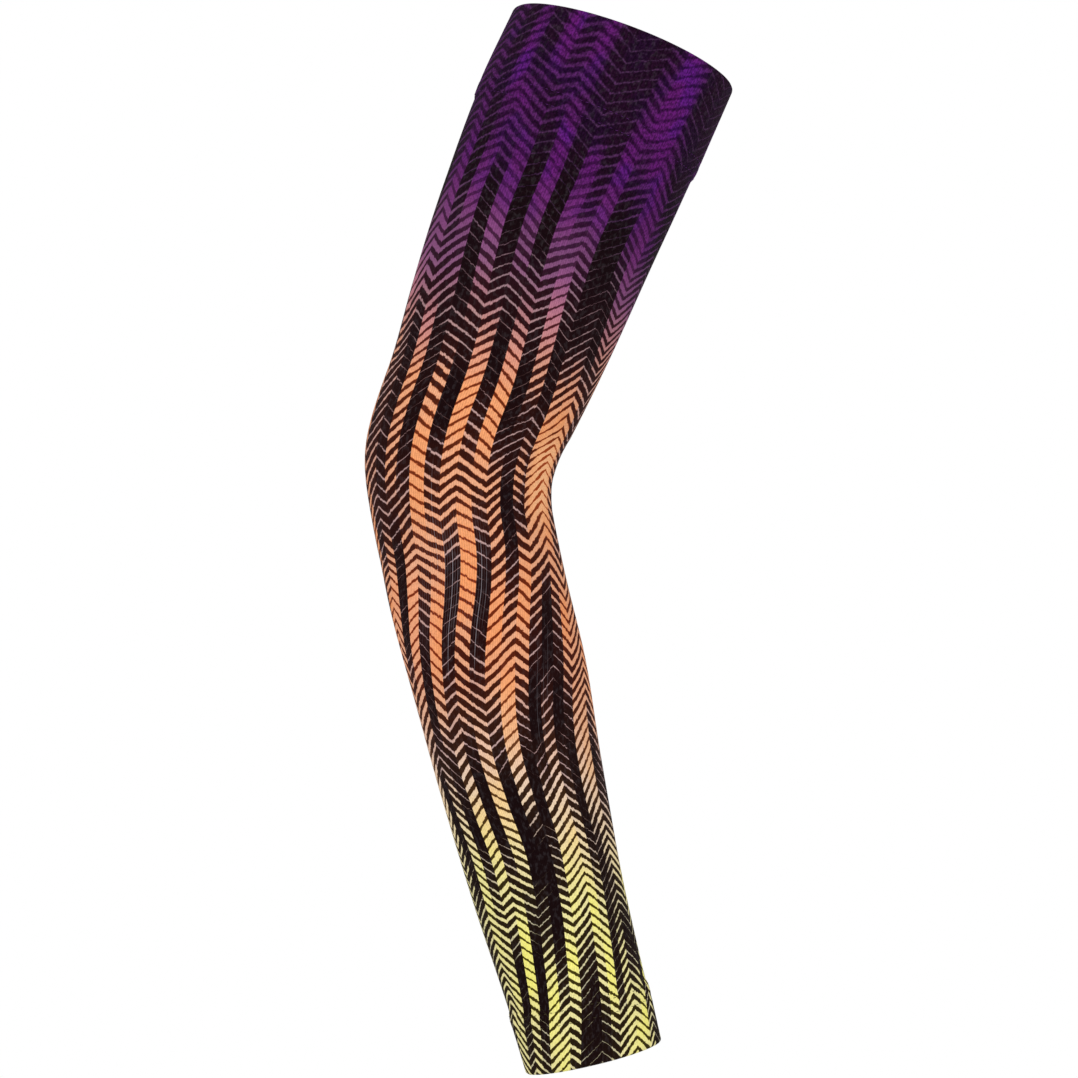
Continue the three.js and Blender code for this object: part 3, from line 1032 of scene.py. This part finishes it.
STITCH_INPUTS = {
    "Path": "NodeSocketGeometry",
    "Pitch": "NodeSocketFloat",
    "Length": "NodeSocketFloat",
    "Width": "NodeSocketFloat",
    "Height": "NodeSocketFloat",
    "Seed": "NodeSocketInt",
    "Thread": "NodeSocketMaterial",
}


def stitch_tree():
    """Geometry nodes that lay stitches along the edges of a mesh, flat on the cloth."""
    tree = bpy.data.node_groups.new("Row of stitches", "GeometryNodeTree")
    for name, kind in STITCH_INPUTS.items():
        tree.interface.new_socket(name, in_out="INPUT", socket_type=kind)
    tree.interface.new_socket("Stitches", in_out="OUTPUT", socket_type="NodeSocketGeometry")
    given = add_node(tree, "NodeGroupInput").outputs

    # One stitch is a small lens of thread.
    sphere = {"Segments": STITCH_SIDES, "Rings": STITCH_RINGS, "Radius": 0.5}
    lens = add_node(tree, "GeometryNodeMeshUVSphere", sphere)
    sizes = {"X": given["Length"], "Y": given["Width"], "Z": given["Height"]}
    size = add_node(tree, "ShaderNodeCombineXYZ", sizes)
    stitch = add_node(tree, "GeometryNodeTransform", {"Geometry": lens, "Scale": size})
    rounded = add_node(tree, "GeometryNodeSetShadeSmooth", {"Geometry": stitch})

    # Each stitch lies along its row and faces outwards, give or take a small turn.
    outward = add_node(tree, "GeometryNodeInputNamedAttribute", {"Name": "outward"}, data_type="FLOAT_VECTOR")
    tangent = add_node(tree, "GeometryNodeInputTangent")
    axes = {"Primary Axis": outward, "Secondary Axis": tangent}
    facing = add_node(tree, "FunctionNodeAxesToRotation", axes, primary_axis="Z", secondary_axis="X")
    turns = {"Min": (0.0, 0.0, -STITCH_WOBBLE), "Max": (0.0, 0.0, STITCH_WOBBLE), "Seed": given["Seed"]}
    wobble = add_node(tree, "FunctionNodeRandomValue", turns, data_type="FLOAT_VECTOR")
    rotations = {"Rotation": facing, "Rotate By": wobble}
    turned = add_node(tree, "FunctionNodeRotateRotation", rotations, rotation_space="LOCAL")

    curve = add_node(tree, "GeometryNodeMeshToCurve", {"Mesh": given["Path"]})
    spacing = {"Curve": curve, "Length": given["Pitch"]}
    spaced = add_node(tree, "GeometryNodeResampleCurve", spacing, mode="LENGTH")
    row = {"Points": spaced, "Instance": rounded, "Rotation": turned}
    laid = add_node(tree, "GeometryNodeInstanceOnPoints", row)
    real = add_node(tree, "GeometryNodeRealizeInstances", {"Geometry": laid})
    sewn = add_node(tree, "GeometryNodeSetMaterial", {"Geometry": real, "Material": given["Thread"]})
    add_node(tree, "NodeGroupOutput", {"Stitches": sewn})
    return tree


def stitch_path(name, rows, inset):
    """Closed loops of edges round the hem, with the outward direction of the cloth at each point."""
    strip = np.arange(COLUMNS) / COLUMNS_PER_STRIP
    points, outward, edges = [], [], []
    for row in rows:
        around = strip_angle(strip, row)
        ring = cloth_point(row, around, inset)
        round_arm = np.roll(ring, -1, axis=0) - np.roll(ring, 1, axis=0)
        down_arm = cloth_point(row + 1, around, inset) - cloth_point(row - 1, around, inset)
        normal = np.cross(down_arm, round_arm)
        normal /= np.linalg.norm(normal, axis=1, keepdims=True)
        first = len(points)
        edges += [(first + i, first + (i + 1) % COLUMNS) for i in range(COLUMNS)]
        points += ring.tolist()
        outward += normal.tolist()
    mesh = bpy.data.meshes.new(name)
    mesh.from_pydata(points, edges, [])
    mesh.attributes.new("outward", "FLOAT_VECTOR", "POINT").data.foreach_set("vector", np.ravel(outward))
    return add_object(name, mesh)


def realised_piece(name, path, tree, values):
    """The plain mesh that a node tree makes on a path, as a piece of its own."""
    modifier = path.modifiers.new("Stitches", "NODES")
    modifier.node_group = tree
    for item in tree.interface.items_tree:
        if item.in_out == "INPUT" and item.name in values:
            modifier[item.identifier] = values[item.name]
    path.update_tag()
    bpy.context.view_layer.update()
    evaluated = path.evaluated_get(bpy.context.evaluated_depsgraph_get())
    mesh = bpy.data.meshes.new_from_object(evaluated)
    path.modifiers.remove(modifier)
    bpy.data.objects.remove(path)
    if not mesh.polygons:
        raise RuntimeError(f"no stitches were made for {name}")
    mesh.name = name
    return add_object(name, mesh)


def settle(piece, slot, *nodes):
    """Ties a finished piece to the frame."""
    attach(piece, BODY)
    if nodes:
        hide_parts(*nodes)


class SLEEVE_OT_stage(Operator):
    """Sets up the floor, the lights and the camera"""

    bl_idname = "sleeve.stage"
    bl_label = "Stage"

    def execute(self, context):
        stage = context.scene.sleeve_stage
        centre = (CAD_BOX[0] + CAD_BOX[1]) / 2
        self.add_floor(stage, centre)
        self.add_sky(context, stage)
        self.add_lamps(stage, centre)
        self.add_camera(context, stage)
        context.scene.view_settings.view_transform = "Standard"
        return {"FINISHED"}

    def add_floor(self, stage, centre):
        mesh = bpy.data.meshes.new("floor")
        level = CAD_BOX[0].z - stage.floor_drop
        turns = np.linspace(0, math.tau, FLOOR_SIDES, endpoint=False)
        rim = np.stack([np.cos(turns), np.sin(turns)], -1) * stage.floor_radius
        points = [(centre.x + x, centre.y + y, level) for x, y in rim]
        mesh.from_pydata(points, [], [range(len(points))])
        mesh.materials.append(studio_floor("pale_floor", stage.floor_colour, stage.sky))
        floor = add_object("floor", mesh)

    def add_sky(self, context, stage):
        world = bpy.data.worlds.new("white_studio")
        tree = cleared_tree(world)
        light = {"Color": opaque(WHITE), "Strength": studio_white(tree, stage.sky)}
        white = add_node(tree, "ShaderNodeBackground", light)
        add_node(tree, "ShaderNodeOutputWorld", {"Surface": white})
        context.scene.world = world

    def add_lamps(self, stage, centre):
        for name, power, offset, size in LAMPS:
            data = bpy.data.lights.new(name, "AREA")
            data.energy = getattr(stage, power)
            data.size = size
            lamp = add_object(name, data)
            lamp.location = centre + Vector(offset)
            lamp.rotation_euler = (-Vector(offset)).to_track_quat("-Z", "Y").to_euler()

    def add_camera(self, context, stage):
        pixel = PHOTO_MM_PER_PIXEL * MM
        middle = PHOTO_SIZE / 2
        data = bpy.data.cameras.new("camera")
        data.sensor_width = SENSOR_WIDTH
        data.lens = SENSOR_WIDTH / 2 * stage.camera_distance / (middle * pixel)
        data.clip_end = CAMERA_REACH
        camera = add_object("camera", data)
        across = (middle - ORIGIN_PIXEL[0]) * pixel
        up = (ORIGIN_PIXEL[1] - middle) * pixel
        camera.location = (across, -stage.camera_distance, up)
        camera.rotation_euler = (math.pi / 2, 0.0, 0.0)
        context.scene.camera = camera


class SLEEVE_OT_hems(Operator):
    """Makes the turned hems at the upper arm and the wrist"""

    bl_idname = "sleeve.hems"
    bl_label = "Hems"

    def execute(self, context):
        cloth = context.scene.sleeve_cloth
        upper_seam = cloth.upper_hem_depth / MM
        wrist_seam = SLEEVE_LENGTH - cloth.wrist_hem_depth / MM
        for name, folded_edge, sewn_edge in (
            ("upper_hem", 0.0, upper_seam),
            ("wrist_hem", SLEEVE_LENGTH, wrist_seam),
        ):
            material = printed_knit(f"{name}_printed_knit")
            hem = cloth_wall(f"{name}_knit", hem_profile(folded_edge, sewn_edge), [material])
            settle(hem, f"{name}_knit", name)
        return {"FINISHED"}


class SLEEVE_OT_stitches(Operator):
    """Sews two rows of stitches along each hem"""

    bl_idname = "sleeve.stitches"
    bl_label = "Hem stitches"

    def execute(self, context):
        stitch = context.scene.sleeve_stitch
        cloth = context.scene.sleeve_cloth
        tree = stitch_tree()
        for name, colour in (("upper_hem", stitch.upper_thread), ("wrist_hem", stitch.wrist_thread)):
            path = stitch_path(f"{name}_path", stitch_rows()[name], -cloth.hem_proud / MM)
            values = {
                "Pitch": stitch.pitch,
                "Length": stitch.length,
                "Width": stitch.width,
                "Height": stitch.height,
                "Seed": stitch.seed,
                "Thread": sewing_thread(f"{name}_thread", colour),
            }
            piece = realised_piece(f"{name}_stitches", path, tree, values)
            settle(piece, f"{name}_knit")
        return {"FINISHED"}


class SLEEVE_OT_tube(Operator):
    """Makes the printed tube between the hems"""

    bl_idname = "sleeve.tube"
    bl_label = "Tube"

    def execute(self, context):
        outside = printed_knit("sleeve_printed_knit")
        inside = printed_knit("sleeve_inside_knit", INSIDE_SHOW_THROUGH)
        tube = cloth_wall("sleeve_tube_knit", tube_profile(), [outside, inside])
        settle(tube, "sleeve_knit", "sleeve_tube")
        return {"FINISHED"}


class SLEEVE_PT_panel(Panel):
    """Lists the sleeve's settings and the steps that make it"""

    bl_label = "Arm Sleeve"
    bl_idname = "SLEEVE_PT_panel"
    bl_space_type = "VIEW_3D"
    bl_region_type = "UI"
    bl_category = "Arm Sleeve"

    def draw(self, context):
        for group in SETTINGS:
            settings = getattr(context.scene, group)
            box = self.layout.box()
            for name in settings.__annotations__:
                box.prop(settings, name)
        for step in OPERATORS:
            self.layout.operator(step.bl_idname)


SETTINGS = {
    "sleeve_stage": SleeveStageSettings,
    "sleeve_cloth": SleeveClothSettings,
    "sleeve_print": SleevePrintSettings,
    "sleeve_stitch": SleeveStitchSettings,
}
OPERATORS = (SLEEVE_OT_stage, SLEEVE_OT_hems, SLEEVE_OT_stitches, SLEEVE_OT_tube)


def register():
    for cls in (*SETTINGS.values(), *OPERATORS, SLEEVE_PT_panel):
        bpy.utils.register_class(cls)
    for name, cls in SETTINGS.items():
        setattr(bpy.types.Scene, name, PointerProperty(type=cls))


def unregister():
    for name in SETTINGS:
        delattr(bpy.types.Scene, name)
    for cls in reversed((*SETTINGS.values(), *OPERATORS, SLEEVE_PT_panel)):
        bpy.utils.unregister_class(cls)


def main():
    register()
    bpy.ops.sleeve.stage()
    bpy.ops.sleeve.hems()
    bpy.ops.sleeve.stitches()
    bpy.ops.sleeve.tube()


if __name__ == "__main__":
    main()
